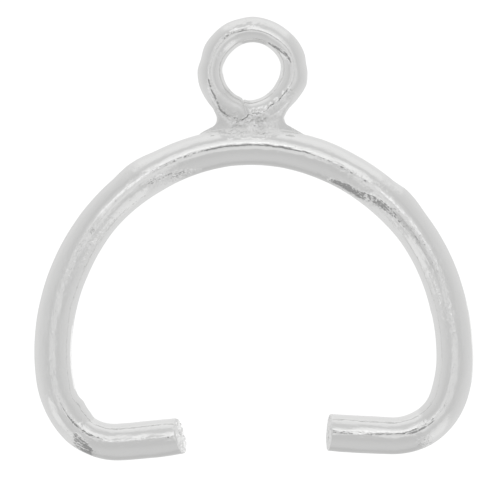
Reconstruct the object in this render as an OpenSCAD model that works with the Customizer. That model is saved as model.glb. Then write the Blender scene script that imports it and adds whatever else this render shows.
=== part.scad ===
// Wire bail for a drilled bead or drop.
// A round wire is bent into an arch, and its two short straight ends, the pegs, point at each
// other across a gap and go into the bead's holes. A closed ring is soldered to the arch's top,
// and a jump ring or a chain goes through it.
// The bail lies flat on its face: +X runs to its right, +Y up towards the ring and +Z out of it.

/* [Arch wire] */
// Diameter of the arch's wire
wire_d = 1.2; // [1:0.05:1.4]
// Height of the wire's centreline at the arch's top, above the middle of the bail
crown_y = 2.92; // [2.6:0.01:3.2]
// Sideways place of the arch's top, from the middle of the bail
crown_x = -0.1; // [-0.3:0.01:0.3]

/* [Left half of the arch] */
// Radius of the bend from the arch's top to the shoulder
left_crown_r = 6.2; // [5.8:0.1:6.8]
// Angle that this bend turns
left_crown_turn = 53; // [50:1:56]
// Radius of the leg's slow bend
left_leg_r = 6.8; // [6.2:0.1:7.6]
// Angle that this bend turns
left_leg_turn = 44; // [41:1:47]
// Radius of the knee, where the leg starts to turn in
left_knee_r = 2.7; // [2.2:0.1:3.2]
// Angle that this bend turns
left_knee_turn = 36; // [32:1:40]
// Radius of the foot, the tight bend before the peg
left_foot_r = 1.7; // [1.4:0.1:2]
// Rise of the peg towards its free end, in degrees
left_peg_rise = 5; // [0:1:8]

/* [Right half of the arch] */
// Radius of the bend from the arch's top to the shoulder
right_crown_r = 6.5; // [6.1:0.1:7.1]
// Angle that this bend turns
right_crown_turn = 73; // [70:1:76]
// Radius of the leg's slow bend
right_leg_r = 7.5; // [6.8:0.1:8.4]
// Angle that this bend turns
right_leg_turn = 16; // [13:1:19]
// Radius of the knee, where the leg starts to turn in
right_knee_r = 4; // [3.4:0.1:4.6]
// Angle that this bend turns
right_knee_turn = 18; // [15:1:21]
// Radius of the foot, the tight bend before the peg
right_foot_r = 1.9; // [1.6:0.1:2.2]
// Rise of the peg towards its free end, in degrees
right_peg_rise = 3; // [0:1:6]

/* [Pegs] */
// Straight length of each peg, with its bevel
peg_length = 2; // [1.6:0.05:2.4]
// Size of the bevel round each free end
peg_bevel = 0.1; // [0.04:0.01:0.2]

/* [Ring] */
// Outer diameter of the closed ring
ring_d = 3.5; // [3.2:0.1:4]
// Diameter of the ring's wire
ring_wire_d = 0.8; // [0.7:0.05:0.9]
// Narrowest gap between the ring and the arch, which the solder fills
ring_gap = 0.07; // [0.04:0.01:0.1]
// Sideways place of the ring's centre, from the arch's top
ring_shift = 0.07; // [-0.2:0.01:0.2]

/* [Solder joint] */
// Width of the joint at its waist
solder_w = 2.24; // [2:0.02:2.4]
// Height of the waist above the arch's top edge
waist_rise = 0.3; // [0.26:0.01:0.34]
// Radius of the hollow on either side of the waist
cove_r = 0.48; // [0.44:0.01:0.52]
// How far the joint spreads over the ring's wire
ring_cover = 0.66; // [0.5:0.02:0.7]
// How far the joint spreads over the arch's wire
arch_cover = 0.24; // [0.16:0.02:0.4]
// Thickness of the joint where it runs out on the ring's wire
solder_t_ring = 0.5; // [0.4:0.05:0.6]
// Thickness of the joint where it runs out on the arch's wire
solder_t_arch = 0.9; // [0.8:0.05:1]

/* [Hidden] */
$fn = 64;

// The bail's face touches the surface that it lies on, so its middle plane is half a wire up.
mid_z = wire_d / 2;
// Grid of the round places that the bends are first moved to
grid = 0.01;

// A place on the wire is its x, its y and its heading: 0 runs along +X and 90 along +Y.
X = 0;
Y = 1;
HEADING = 2;

// The left half runs towards -X and turns anticlockwise, the right half the other way round.
LEFT = 1;
RIGHT = -1;
left_start = [crown_x, crown_y, 180];
right_start = [crown_x, crown_y, 0];

// A bend is a row of its radius and the angle that it turns. Each foot turns what is left of
// the half turn, so that its peg rises as stated.
R = 0;
TURN = 1;
left_foot_turn = 180 + left_peg_rise - left_crown_turn - left_leg_turn - left_knee_turn;
right_foot_turn = 180 + right_peg_rise - right_crown_turn - right_leg_turn - right_knee_turn;
left_bends = [
    [left_crown_r, left_crown_turn],
    [left_leg_r, left_leg_turn],
    [left_knee_r, left_knee_turn],
    [left_foot_r, left_foot_turn],
];
right_bends = [
    [right_crown_r, right_crown_turn],
    [right_leg_r, right_leg_turn],
    [right_knee_r, right_knee_turn],
    [right_foot_r, right_foot_turn],
];

// The ring stands on the arch's top, with its centreline's radius halfway through its wire.
ring_r = (ring_d - ring_wire_d) / 2;
ring_x = crown_x + ring_shift;
arch_top_y = crown_y + wire_d / 2;
ring_y = arch_top_y + ring_gap + ring_d / 2;

// The joint flares from its waist to both wires, to half a hollow's radius out on each side.
cove_x = solder_w / 2 + cove_r;
cove_y = arch_top_y + waist_rise;
solder_half = solder_w / 2 + cove_r / 2;
solder_top = arch_top_y + ring_gap + ring_cover;
solder_bottom = arch_top_y - arch_cover;

// Centre of a bend that starts at a place and turns to one side
function bend_centre(place, r, side) = [
    place[X] - side * r * sin(place[HEADING]),
    place[Y] + side * r * cos(place[HEADING])
];

// Place at the end of a bend
function after_bend(place, bend, side) =
    let (centre = bend_centre(place, bend[R], side))
    let (heading = place[HEADING] + side * bend[TURN])
    [
        centre[X] + side * bend[R] * sin(heading),
        centre[Y] - side * bend[R] * cos(heading),
        heading
    ];

// Place after the first n bends of a half
function place_after(start, bends, side, n) =
    n == 0 ? start : after_bend(place_after(start, bends, side, n - 1), bends[n - 1], side);

// Moves its children to a point of the middle plane, first to a round place beside it and then
// by the small rest, which keeps enough digits for the ends of two bends to meet exactly.
module move_to(point) {
    beside = [for (v = [point[X], point[Y]]) round(v / grid) * grid];
    translate([beside[X], beside[Y], mid_z])
        translate([point[X] - beside[X], point[Y] - beside[Y], 0])
            children();
}

// One bend of the wire, a piece of a torus
module bend(place, bend, side) {
    first_angle = side == LEFT ? place[HEADING] - 90 : place[HEADING] + 90 - bend[TURN];
    move_to(bend_centre(place, bend[R], side))
        rotate_extrude(angle = bend[TURN], start = first_angle)
            translate([bend[R], 0])
                circle(d = wire_d);
}

// A straight peg with a bevelled free end, along the heading of its place
module peg(place) {
    move_to(place)
        rotate([0, 90, place[HEADING]]) {
            cylinder(h = peg_length - peg_bevel, d = wire_d);
            translate([0, 0, peg_length - peg_bevel])
                cylinder(h = peg_bevel, d1 = wire_d, d2 = wire_d - 2 * peg_bevel);
        }
}

// Half of the arch: its bends from the top down, then its peg
module half_arch(start, bends, side) {
    for (n = [0 : len(bends) - 1])
        bend(place_after(start, bends, side, n), bends[n], side);
    peg(place_after(start, bends, side, len(bends)));
}

module arch_wire() {
    half_arch(left_start, left_bends, LEFT);
    half_arch(right_start, right_bends, RIGHT);
}

module closed_ring() {
    move_to([ring_x, ring_y])
        rotate_extrude()
            translate([ring_r, 0])
                circle(d = ring_wire_d);
}

// Face of the joint: a block between the two wires with a round hollow in either side
module solder_face() {
    difference() {
        translate([ring_x - solder_half, solder_bottom])
            square([2 * solder_half, solder_top - solder_bottom]);
        for (side = [LEFT, RIGHT])
            translate([ring_x + side * cove_x, cove_y])
                circle(r = cove_r);
    }
}

// Side view of the joint, with its thickness along X and its height along Y
module solder_side() {
    polygon([
        [-solder_t_arch / 2, solder_bottom],
        [solder_t_arch / 2, solder_bottom],
        [solder_t_ring / 2, solder_top],
        [-solder_t_ring / 2, solder_top],
    ]);
}

// The joint is thick on the arch's wire and thin on the ring's thinner one.
module solder_joint() {
    intersection() {
        linear_extrude(height = wire_d)
            solder_face();
        translate([ring_x - solder_half, 0, mid_z])
            rotate([0, 90, 0])
                linear_extrude(height = 2 * solder_half)
                    solder_side();
    }
}

// The soldered bail is one piece of metal.
module bail() {
    color("silver")
        union() {
            arch_wire();
            closed_ring();
            solder_joint();
        }
}

bail();
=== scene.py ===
# %% [markdown]
# # A soldered wire bail in silver
#
# A bail is the part that a pendant hangs by. This one is a round silver wire, bent into an arch
# whose two short ends point at each other. The ends spring into the hole of a bead or drop, and
# a small closed ring, soldered to the top of the arch, takes the chain.
#
# The lesson starts from the CAD model, which fixes every size. The CAD solid is exact and plain:
# perfect round wire and a neat web between ring and arch. Here a skin takes its place that has
# what the maker's hands left on the metal: the swellings where the pliers gripped, the snipped
# ends, the lump of solder, the drawing lines along the wire and the marks of tools.

import bmesh
import bpy
import numpy as np
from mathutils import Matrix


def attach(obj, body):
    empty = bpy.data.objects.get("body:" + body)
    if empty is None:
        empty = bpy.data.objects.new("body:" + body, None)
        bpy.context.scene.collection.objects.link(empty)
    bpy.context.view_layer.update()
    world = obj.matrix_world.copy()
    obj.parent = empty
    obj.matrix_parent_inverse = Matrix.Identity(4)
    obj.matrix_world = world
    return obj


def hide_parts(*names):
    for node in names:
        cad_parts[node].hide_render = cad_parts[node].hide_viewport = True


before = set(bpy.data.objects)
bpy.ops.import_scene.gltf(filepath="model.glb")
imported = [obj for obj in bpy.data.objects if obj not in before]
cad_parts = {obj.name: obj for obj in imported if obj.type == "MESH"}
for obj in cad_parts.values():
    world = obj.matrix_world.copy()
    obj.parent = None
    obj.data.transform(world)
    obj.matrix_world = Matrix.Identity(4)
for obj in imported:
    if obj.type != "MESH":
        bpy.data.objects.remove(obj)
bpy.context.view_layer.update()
MM = 0.001  # the scene is in metres, while this lesson's lengths are in millimetres
print("CAD nodes:", sorted(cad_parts))

# %% [markdown]
# ## The wire's path
#
# The real wire was bent round formers, so its path is a chain of arcs that run smoothly into one
# another, with a straight peg at either end. A hand-drawn curve could follow it too, but arcs
# keep the CAD model's sizes, and walking along them is easy: each arc turns the heading by its
# angle about a centre at its radius to one side. Both halves start at the top of the arch and
# walk down to a tip. Later, everything on the wire is placed by its length from the left tip.

# %% Walk the two halves of the arch
WIRE_R = 0.6
MID_Z = WIRE_R  # the wire's middle lies one radius above the floor
CROWN = np.array([-0.1, 2.92])
PEG = 2.0
LEFT_BENDS = [(6.2, 53), (6.8, 44), (2.7, 36), (1.7, 52)]  # radius, degrees turned
RIGHT_BENDS = [(6.5, 73), (7.5, 16), (4.0, 18), (1.9, 76)]
PATH_STEP = 0.01


def walk(start, heading, bends, side, peg):
    """Points every PATH_STEP along arcs, then along the peg: an arc's point is its centre plus
    the radius turned by the heading, and the heading grows by length over radius."""
    points, here, heading = [], np.array(start), np.radians(heading)
    for radius, degrees in bends:
        normal = side * np.array([-np.sin(heading), np.cos(heading)])
        centre = here + radius * normal
        turn = np.radians(degrees)
        steps = int(radius * turn / PATH_STEP)
        angle = heading + side * np.linspace(0, turn, steps, endpoint=False)
        points.append(centre - side * radius * np.stack([-np.sin(angle), np.cos(angle)], 1))
        heading += side * turn
        here = centre - side * radius * np.array([-np.sin(heading), np.cos(heading)])
    along = np.linspace(0, peg, int(peg / PATH_STEP))[:, None]
    points.append(here + along * np.array([np.cos(heading), np.sin(heading)]))
    return np.concatenate(points)


left_half = walk(CROWN, 180, LEFT_BENDS, 1, PEG)
right_half = walk(CROWN, 0, RIGHT_BENDS, -1, PEG)
wire_path = np.concatenate([left_half[:0:-1], right_half])
wire_run = np.r_[0, np.cumsum(np.hypot(*np.diff(wire_path, axis=0).T))]
WIRE_LENGTH = wire_run[-1]
print("the wire is %.2f mm long, from the left tip to the right one" % WIRE_LENGTH)

# %% Follow the path
HEADING_REACH = 0.03  # the direction of travel is taken this far ahead and behind


def on_path(run):
    """Point, direction of travel and outward side of the path at each length from the left tip,
    by straight interpolation between the path's close points. Past a tip it runs straight on."""
    ahead = np.minimum(run + HEADING_REACH, WIRE_LENGTH)
    behind = np.maximum(run - HEADING_REACH, 0)

    def at(where):
        return np.stack([np.interp(where, wire_run, wire_path[:, k]) for k in (0, 1)], 1)

    travel = at(ahead) - at(behind)
    travel /= np.linalg.norm(travel, axis=1)[:, None]
    outward = np.stack([-travel[:, 1], travel[:, 0]], 1)
    beyond = run - np.clip(run, 0, WIRE_LENGTH)
    return at(run) + beyond[:, None] * travel, travel, outward


print("the tips lie at", on_path(np.array([0, WIRE_LENGTH]))[0].round(2).tolist())

# %% [markdown]
# ## Helpers for worked-out surfaces
#
# Every new surface here is a grid of points: rows run along the piece and columns go round it.
# One helper turns such a grid into a closed mesh, with one vertex as the pole at each end.
# Others climb softly from 0 to 1 and draw a smooth curve through a few measured values. The last
# ones make soft pebbly noise, for all that hands and heat did to the metal unevenly.

# %% Grid to mesh


def arrays(mesh):
    """Vertices in mm and triangles of a mesh as arrays."""
    mesh.calc_loop_triangles()
    points = np.empty(len(mesh.vertices) * 3)
    mesh.vertices.foreach_get("co", points)
    triangles = np.empty(len(mesh.loop_triangles) * 3, int)
    mesh.loop_triangles.foreach_get("vertices", triangles)
    return points.reshape(-1, 3) / MM, triangles.reshape(-1, 3)


def signed_volume(mesh):
    """Sum over the triangles of the volume each makes with the origin, in cubic mm."""
    points, triangles = arrays(mesh)
    a, b, c = points[triangles[:, 0]], points[triangles[:, 1]], points[triangles[:, 2]]
    return float(np.einsum("ij,ij->i", a, np.cross(b, c)).sum() / 6)


def closed_grid(name, rows, first_pole=None, last_pole=None):
    """Mesh of a grid of rows x columns x 3 points in mm. Columns close round. Rows close round
    too if no poles are given, or else each end closes on its pole."""
    n, m = rows.shape[:2]
    ring = first_pole is None
    i, j = np.meshgrid(np.arange(n if ring else n - 1), np.arange(m), indexing="ij")
    i2, j2 = (i + 1) % n, (j + 1) % m
    quads = np.stack([i * m + j, i * m + j2, i2 * m + j2, i2 * m + j], -1).reshape(-1, 4)
    points, faces = rows.reshape(-1, 3), quads.tolist()
    if not ring:
        points = np.vstack([points, first_pole, last_pole])
        k, k2 = np.arange(m), (np.arange(m) + 1) % m
        faces += np.stack([np.full(m, n * m), k2, k], 1).tolist()
        last = (n - 1) * m
        faces += np.stack([np.full(m, n * m + 1), last + k, last + k2], 1).tolist()
    mesh = bpy.data.meshes.new(name)
    mesh.from_pydata((points * MM).tolist(), [], faces)
    mesh.update()
    if signed_volume(mesh) < 0:
        mesh.flip_normals()
    print("%s: %d faces, %.2f cubic mm" % (name, len(mesh.polygons), signed_volume(mesh)))
    return mesh


# %% Soft climbs and curves
TAPS = 11  # places in the averaging window, whose two ends weigh nothing


def ease(x):
    """0 below 0 and 1 above 1, with a smooth climb between, 3x^2 - 2x^3."""
    x = np.clip(x, 0, 1)
    return x * x * (3 - 2 * x)


def climb(x, start, over):
    """Eases from 0 at start to 1 a stretch further on. A negative stretch lies before start, so
    that the value falls over it from 1 to 0."""
    return ease((x - start) / over)


def through(knots, x, soft, period=None):
    """Smooth curve through (place, value) knots: straight lines from knot to knot, averaged over
    a window that reaches soft to either side and fades out towards its ends."""
    places, values = np.array(knots, float).T
    taps = np.linspace(-1, 1, TAPS)[1:-1]
    weights = 1 + np.cos(np.pi * taps)
    total = sum(
        weight * np.interp(x + soft * tap, places, values, period=period)
        for tap, weight in zip(taps, weights)
    )
    return total / weights.sum()


def bump(x, centre, width):
    """A bell of height 1: exp(-(distance / width)^2)."""
    return np.exp(-(((x - centre) / width) ** 2))


print("ease from 0 to 1 in quarters:", ease(np.linspace(0, 1, 5)))

# %% Pebbly noise
HEIGHTS = 4096  # random heights to choose from
MIXER = np.array([73, 179, 283])  # turns a lattice corner's three numbers into one


def pebbles(points, size, seed):
    """Soft noise from -1 to 1: random heights on a lattice of the given size in mm, blended with
    eased weights between the eight corners round each point."""
    table = np.random.default_rng(seed).uniform(-1, 1, HEIGHTS)
    cell = np.floor(points / size).astype(int)
    share = ease(points / size - cell)
    total = np.zeros(points.shape[:-1])
    for corner in np.ndindex(2, 2, 2):
        height = table[((cell + corner) * MIXER).sum(-1) % HEIGHTS]
        total += height * np.where(corner, share, 1 - share).prod(-1)
    return total


def layered(points, *layers):
    """Sum of pebbly noises, each given as its height, its size in mm and its seed."""
    return sum(height * pebbles(points, size, seed) for height, size, seed in layers)


print("pebbles along a line:", pebbles(np.linspace([0, 0, 0], [2, 0, 0], 6), 0.5, 1).round(2))

# %% [markdown]
# ## The arch wire
#
# Drawn wire is a circle carried along a path. A bevelled curve would give just that, but pliers
# and a hammer leave real wire slightly out of round, so its outline steps in and out by a few
# hundredths of a millimetre: fuller at both shoulders, where it was gripped, leaner next to
# them, nicked inside the left foot. The circle is therefore given its own outer and inner reach
# at each place, and its angle is used to blend from one to the other.
#
# The ends were snipped. Cutters leave a face that isn't square, so the last rows lean over: how
# far the wire reaches depends on the angle round it. The left cut tore, and so it is ragged.

# %% Work out the wire's surface
# Reach of the wire as a share of its radius, by length from the left tip, outwards and inwards
OUTER_REACH = [
    (0, 0.93), (0.35, 0.99), (0.7, 1.03), (1.8, 1.03), (2.9, 0.965), (3.4, 1.0), (4.6, 0.975),
    (6.0, 0.995), (8.0, 0.975), (10.0, 0.955), (11.8, 0.95), (12.35, 1.06), (12.75, 1.055),
    (13.35, 0.965), (14.6, 0.975), (16.2, 1.0), (17.6, 1.0), (18.4, 1.02), (19.4, 0.975),
    (20.8, 0.97), (21.2, 1.095), (21.6, 1.075), (22.1, 0.99), (24.5, 0.975), (25.6, 1.005),
    (28.6, 1.005), (29.3, 1.03), (30.0, 1.0), (31.3, 1.03), (32.0, 1.02), (32.3, 0.99),
]
INNER_REACH = [
    (0, 0.97), (1.1, 0.965), (1.5, 0.94), (2.2, 0.96), (3.25, 0.905), (3.5, 1.0), (3.85, 1.03),
    (4.05, 1.09), (4.35, 0.955), (4.6, 0.96), (4.9, 1.01), (8.0, 1.02), (9.0, 1.035),
    (10.8, 1.005), (12.9, 1.075), (14.2, 1.035), (15.6, 0.99), (17.3, 0.985), (18.4, 1.025),
    (20.9, 1.035), (22.2, 0.985), (25.0, 1.01), (25.3, 0.98), (27.8, 0.985), (28.6, 0.93),
    (29.2, 0.955), (30.4, 0.97), (32.3, 0.97),
]
REACH_SOFT = 0.22
# Unevenness as a share of the radius, with its size in mm and its seed
LONG_DENTS, SMALL_DENTS = (0.005, 0.55, 3), (0.0025, 0.21, 4)
DENT_STRETCH = [1, 0.9, 0.9]


def arch_points(run, angle):
    """The arch's surface: path point + outward side x reach x cos(angle), and height = middle +
    radius x sin(angle). Angle 0 is the outer side and a quarter turn is the top. The reach grows
    with the square of the cosine, so it moves the sides and leaves the crest alone."""
    middle, _, outward = on_path(run)
    cos, sin = np.cos(angle), np.sin(angle)
    outer = through(OUTER_REACH, run, REACH_SOFT)[:, None] - 1
    inner = through(INNER_REACH, run, REACH_SOFT)[:, None] - 1
    reach = 1 + outer * np.maximum(cos, 0) ** 2 + inner * np.maximum(-cos, 0) ** 2
    spot = np.stack([run[:, None] + 0 * cos, cos + 0 * run[:, None], sin + 0 * run[:, None]], -1)
    uneven = layered(spot * DENT_STRETCH, LONG_DENTS) + layered(spot, SMALL_DENTS)
    radius = WIRE_R * (reach + uneven)
    across = radius * cos
    height = np.clip(WIRE_R * (1 + uneven) * sin, -WIRE_R, WIRE_R)
    flat = middle[:, None] + across[..., None] * outward[:, None]
    return np.concatenate([flat, MID_Z + height[..., None]], -1)


ARCH_ALONG, ARCH_AROUND = 760, 72
CREST_CROWDING = 0.2  # moves columns closer together along both crests, where fine marks lie
run = np.linspace(0, WIRE_LENGTH, ARCH_ALONG)
angle = np.linspace(0, 2 * np.pi, ARCH_AROUND, endpoint=False)
angle = angle + CREST_CROWDING * np.sin(2 * angle)
rows = arch_points(run, angle)
print("wire: %d rows of %d points" % rows.shape[:2])

# %% Snip the ends
LEAN_RUN = 1.2  # the lean of a cut fades out over this length
ROUNDING = ((0.12, 0.45), (0.4, 0.8), (0.85, 1.0))  # shares of the bevel, inwards and forwards
FACE_ROWS = (0.94, 0.86, 0.76, 0.64, 0.52, 0.38, 0.2)  # shares of the rim's size, to the middle
TEARS = ((1, 0.35, 21), (0.6, 0.17, 22))
TEAR_TURN = 2  # radius of the circle on which the tears' noise is read
FACE_RIDGES, RIDGE_STRETCH, RIDGE_FADE = (0.03, 0.2, 9), [1, 2.2, 1], 8


def snipped(rows, inside, angle, sign, base, lean_out, lean_up, bevel, jag):
    """End of the wire. Rows come with the tip's row last, inside is each row's distance from the
    tip, and sign is the travel's at this end. Rows near the tip shift so that the last one lies
    base + bevel + lean_out x cos(angle) + lean_up x sin(angle) short of it, and jag unevenly more
    or less. Then rows are added that round the rim over and run in to the middle of the cut."""
    middle, travel, outward = on_path(np.array([0 if sign < 0 else WIRE_LENGTH]))
    tip = np.array([*middle[0], MID_Z])
    axis, side = sign * np.array([*travel[0], 0]), np.array([*outward[0], 0])
    cos, sin = np.cos(angle), np.sin(angle)
    short = base + lean_out * cos + lean_up * sin + bevel
    turned = np.stack([TEAR_TURN * cos, TEAR_TURN * sin, 0 * angle], -1)
    short = short + jag * layered(turned, *TEARS)
    rows = rows - (ease(1 - inside / LEAN_RUN)[:, None] * short)[..., None] * axis
    loop, centre = rows[-1], tip - axis * base
    ahead = ((loop - centre) @ axis)[:, None] * axis
    flat = loop - ahead
    parts = [rows]
    for inset, forward in ROUNDING:
        slim = 1 - inset * bevel / WIRE_R
        parts.append((centre + (flat - centre) * slim + ahead + forward * bevel * axis)[None])
    rim = parts[-1][0]
    for slim in FACE_ROWS:
        face = centre + (rim - centre) * slim
        spots = np.stack([(face - tip) @ side, face[:, 2], 0 * angle], -1)
        shear = layered(spots * RIDGE_STRETCH, FACE_RIDGES) * (1 - slim**RIDGE_FADE)
        parts.append((face + shear[:, None] * axis)[None])
    return np.concatenate(parts), centre


RIGHT_CUT = {"base": 0.05, "lean_out": -0.01, "lean_up": 0.06, "bevel": 0.05, "jag": 0.006}
LEFT_CUT = {"base": 0.045, "lean_out": -0.08, "lean_up": 0.115, "bevel": 0.07, "jag": 0.028}
rows, right_pole = snipped(rows, WIRE_LENGTH - run, angle, 1, **RIGHT_CUT)
inside = np.r_[np.full(len(rows) - ARCH_ALONG, WIRE_LENGTH), run[::-1]]
rows, left_pole = snipped(rows[::-1], inside, angle, -1, **LEFT_CUT)
arch_mesh = closed_grid("arch", rows, right_pole, left_pole)

# %% [markdown]
# ## The closed ring
#
# The ring is thinner wire, bent round until its ends meet. A torus would be too perfect: the
# real one bulges at both sides, where it was squeezed, and its crest wanders off the middle. Its
# surface has two angles, one round the ring and one round the wire, and each edge and the crest
# get a smooth closed curve of their own. Where the ends meet, a fine slanting groove is left.

# %% Work out the ring
RING_CENTRE = np.array([-0.03, 5.34])
RING_WIRE_R = 0.4
RING_R = 1.35
# Distance of the ring's edges from its centre, by degrees from the right side anticlockwise
RING_OUTER = [
    (0, 1.76), (8, 1.725), (16, 1.75), (32, 1.745), (50, 1.715), (70, 1.715), (90, 1.738),
    (104, 1.718), (118, 1.74), (136, 1.724), (152, 1.735), (167, 1.685), (180, 1.765),
    (196, 1.77), (215, 1.74), (235, 1.74), (270, 1.74), (300, 1.72), (318, 1.665),
    (332, 1.715), (348, 1.80),
]
RING_INNER = [
    (0, 0.89), (14, 0.925), (50, 0.905), (88, 0.918), (134, 0.896), (166, 0.935), (185, 0.945),
    (228, 0.93), (262, 0.955), (282, 0.905), (304, 0.862), (334, 0.845), (348, 0.872),
]
# Sideways place of the ring's crest, as a share of half its width
RING_CREST = [
    (0, 0.02), (20, -0.05), (55, -0.16), (80, -0.14), (100, -0.07), (125, 0), (350, 0.02),
]
OUTER_SOFT, INNER_SOFT, CREST_SOFT = 7, 9, 12  # degrees
RING_DENTS = ((0.004, 0.42, 5), (0.001, 0.16, 6))
MEETING, MEETING_SLANT = 262, 10  # where the ends meet, and how far this swings across the wire
GROOVE_DEPTH, GROOVE_HALF = 0.04, 1.6  # mm deep, and degrees wide
LIP_HEIGHT, LIP_PLACE, LIP_HALF = 0.02, -8, 6  # the end beside the groove stands a little proud
LEAST_LEVEL = 0.1  # keeps what is inside the root above 0


def ring_points(turn, angle):
    """The ring's surface: distance from its centre runs from the inner to the outer edge with
    the cosine of the wire's angle. Height is sin(angle) x root(1 + 2 crest x cos(angle) -
    crest^2 x sin(angle)^2), which is round with its crest moved sideways. A groove and a lip,
    both bells across the line where the ends meet, are added outwards with the dents."""
    degrees = np.degrees(turn)
    outer = through(RING_OUTER, degrees, OUTER_SOFT, 360)[:, None]
    inner = through(RING_INNER, degrees, INNER_SOFT, 360)[:, None]
    crest = through(RING_CREST, degrees, CREST_SOFT, 360)[:, None]
    cos, sin = np.cos(angle)[None], np.sin(angle)[None]
    distance = (outer + inner) / 2 + (outer - inner) / 2 * cos
    level = sin * np.sqrt(np.maximum(1 + 2 * crest * cos - crest**2 * sin**2, LEAST_LEVEL))
    x = RING_CENTRE[0] + distance * np.cos(turn)[:, None]
    y = RING_CENTRE[1] + distance * np.sin(turn)[:, None]
    points = np.stack([x, y, MID_Z + RING_WIRE_R * level], -1)
    away = np.stack([cos * np.cos(turn)[:, None], cos * np.sin(turn)[:, None], sin + 0 * x], -1)
    past_meeting = degrees[:, None] - MEETING - MEETING_SLANT * cos
    uneven = layered(points, *RING_DENTS) - GROOVE_DEPTH * bump(past_meeting, 0, GROOVE_HALF)
    uneven = uneven + LIP_HEIGHT * bump(past_meeting, LIP_PLACE, LIP_HALF)
    return points + away * uneven[..., None]


RING_ALONG, RING_AROUND = 300, 80
turn = np.linspace(0, 2 * np.pi, RING_ALONG, endpoint=False)
ring_angle = np.linspace(0, 2 * np.pi, RING_AROUND, endpoint=False)
ring_mesh = closed_grid("ring", ring_points(turn, ring_angle))

# %% [markdown]
# ## The solder
#
# Molten solder is drawn into the corner between two wires and climbs up both of them. What
# sets is a web with hollow sides, thin at its waist, that wraps both wires in a thin film, and
# its skin is grainy where it cooled last. A blob of metaballs would flow too, but its edge
# would lie anywhere. Here the edge is a crease, and it should lie where the real one does.
#
# The web is worked out between two curves: an inner one inside the ring's own wire, where
# nothing shows, and an outer one, which is the web's outline. Its thickness hugs whatever lies
# under it: the arch's wire, the ring's wire or the web between them, blended so that no corner
# is left. A film's thickness is added where solder wetted the wire, and taken off elsewhere, so
# that the film ends in a crease along a line of our choice.

# %% Where the solder reaches
# The outline from beside the ring on the left, down the waist, inside the arch and up again,
# each point with the degrees round the ring of the core's point that it is joined to
SOLDER_OUTLINE = [
    (-1.60, 4.93, 196), (-1.56, 4.72, 203), (-1.49, 4.52, 210), (-1.40, 4.35, 217),
    (-1.31, 4.16, 224), (-1.25, 4.03, 229), (-1.20, 3.93, 233), (-1.175, 3.84, 237),
    (-1.18, 3.73, 242), (-1.22, 3.634, 247), (-1.31, 3.545, 251), (-1.46, 3.452, 255),
    (-1.64, 3.385, 257), (-1.74, 3.31, 258), (-1.60, 3.18, 260), (-1.25, 3.10, 262),
    (-0.85, 3.05, 264), (-0.4, 3.03, 267), (0.1, 3.03, 271), (0.6, 3.05, 275),
    (1.1, 3.09, 277), (1.50, 3.16, 278), (1.68, 3.27, 279), (1.55, 3.345, 281),
    (1.30, 3.436, 284), (1.13, 3.545, 288), (1.03, 3.66, 293), (0.985, 3.79, 299),
    (1.005, 3.90, 306), (1.06, 4.02, 313), (1.14, 4.14, 318), (1.22, 4.25, 322),
    (1.29, 4.36, 326), (1.36, 4.50, 330), (1.42, 4.62, 334),
]
# Distance from the ring's centre at which the solder starts on the ring's wire, by degrees
SOLDER_EDGE = [
    (190, 1.40), (195, 1.43), (204, 1.46), (224, 1.53), (238, 1.59), (250, 1.61), (259, 1.60),
    (263, 1.46), (267, 1.32), (276, 1.29), (285, 1.27), (303, 1.21), (322, 1.23), (334, 1.30),
]
EDGE_SOFT = 5  # degrees
RAGGED_EDGE = ((0.045, 0.26, 17), (0.03, 0.11, 18), (0.02, 0.06, 19))
RAGGED_FROM, RAGGED_OVER = 205, 20  # degrees: the edge is smooth at the left and then ragged
ARCH_SPREAD, SPREAD_FLARE = 0.27, 0.22  # where the film ends on the arch, and more at its sides
FLARE_MIDDLE, FLARE_FROM, FLARE_OVER = -0.15, 0.5, 0.8


def from_wires(x, y):
    """Distance in plan from the arch's centreline, + outwards, then distance from the ring's
    centre and degrees round it. The left half's top bend stands for both, since the two hardly
    differ as near to the crown as this."""
    radius = LEFT_BENDS[0][0]
    bend = CROWN - [0, radius]
    from_arch = np.hypot(x - bend[0], y - bend[1]) - radius
    dx, dy = x - RING_CENTRE[0], y - RING_CENTRE[1]
    return from_arch, np.hypot(dx, dy), np.degrees(np.arctan2(dy, dx)) % 360


def wetted(x, y):
    """Above 0 where solder covers the wires and below 0 elsewhere, in mm from its edge: the
    distance outside the crease on the ring, or outside the film's edge on the arch."""
    from_arch, from_ring, degrees = from_wires(x, y)
    ragged = layered(np.stack([x, y, 0 * x], -1), *RAGGED_EDGE)
    on_ring = from_ring - through(SOLDER_EDGE, degrees, EDGE_SOFT)
    on_ring = on_ring + ragged * climb(degrees, RAGGED_FROM, RAGGED_OVER)
    spread = ARCH_SPREAD + SPREAD_FLARE * climb(np.abs(x - FLARE_MIDDLE), FLARE_FROM, FLARE_OVER)
    return np.minimum(on_ring, from_arch - spread + ragged)


print("wetted web and bare arch:", wetted(np.array([0, 3.0]), np.array([3.7, 2.1])).round(2))

# %% [markdown]
# ## The solder's crust
#
# Solder that cools last freezes in grains. On the real joint they lie along the crease on the
# ring and in the middle of the web, and they catch the light one by one. Bump alone would do
# from far off, but their edges show against the plain metal, so they are part of the surface.

# %% Grains and where they lie
CRUST_LINE, CRUST_HALF = 0.03, 0.11  # its place outside the crease, and its half width
CRUST_START, CRUST_END = (222, 10), (336, -8)  # degrees, and over how many it comes and goes
# The web's crusted middle: where it starts and over how much, in x and outwards from the ring
MIDDLE_LEFT, MIDDLE_RIGHT, MIDDLE_TOP = (-0.86, 0.2), (0.56, -0.2), (1.36, 0.12)
MIDDLE_WEAK, MIDDLE_FOOT = 0.4, (0.5, 0.2)  # weaker on the arch's wire than on the web
GRAINS = ((0.036, 0.14, 11), (0.028, 0.07, 12))


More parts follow.
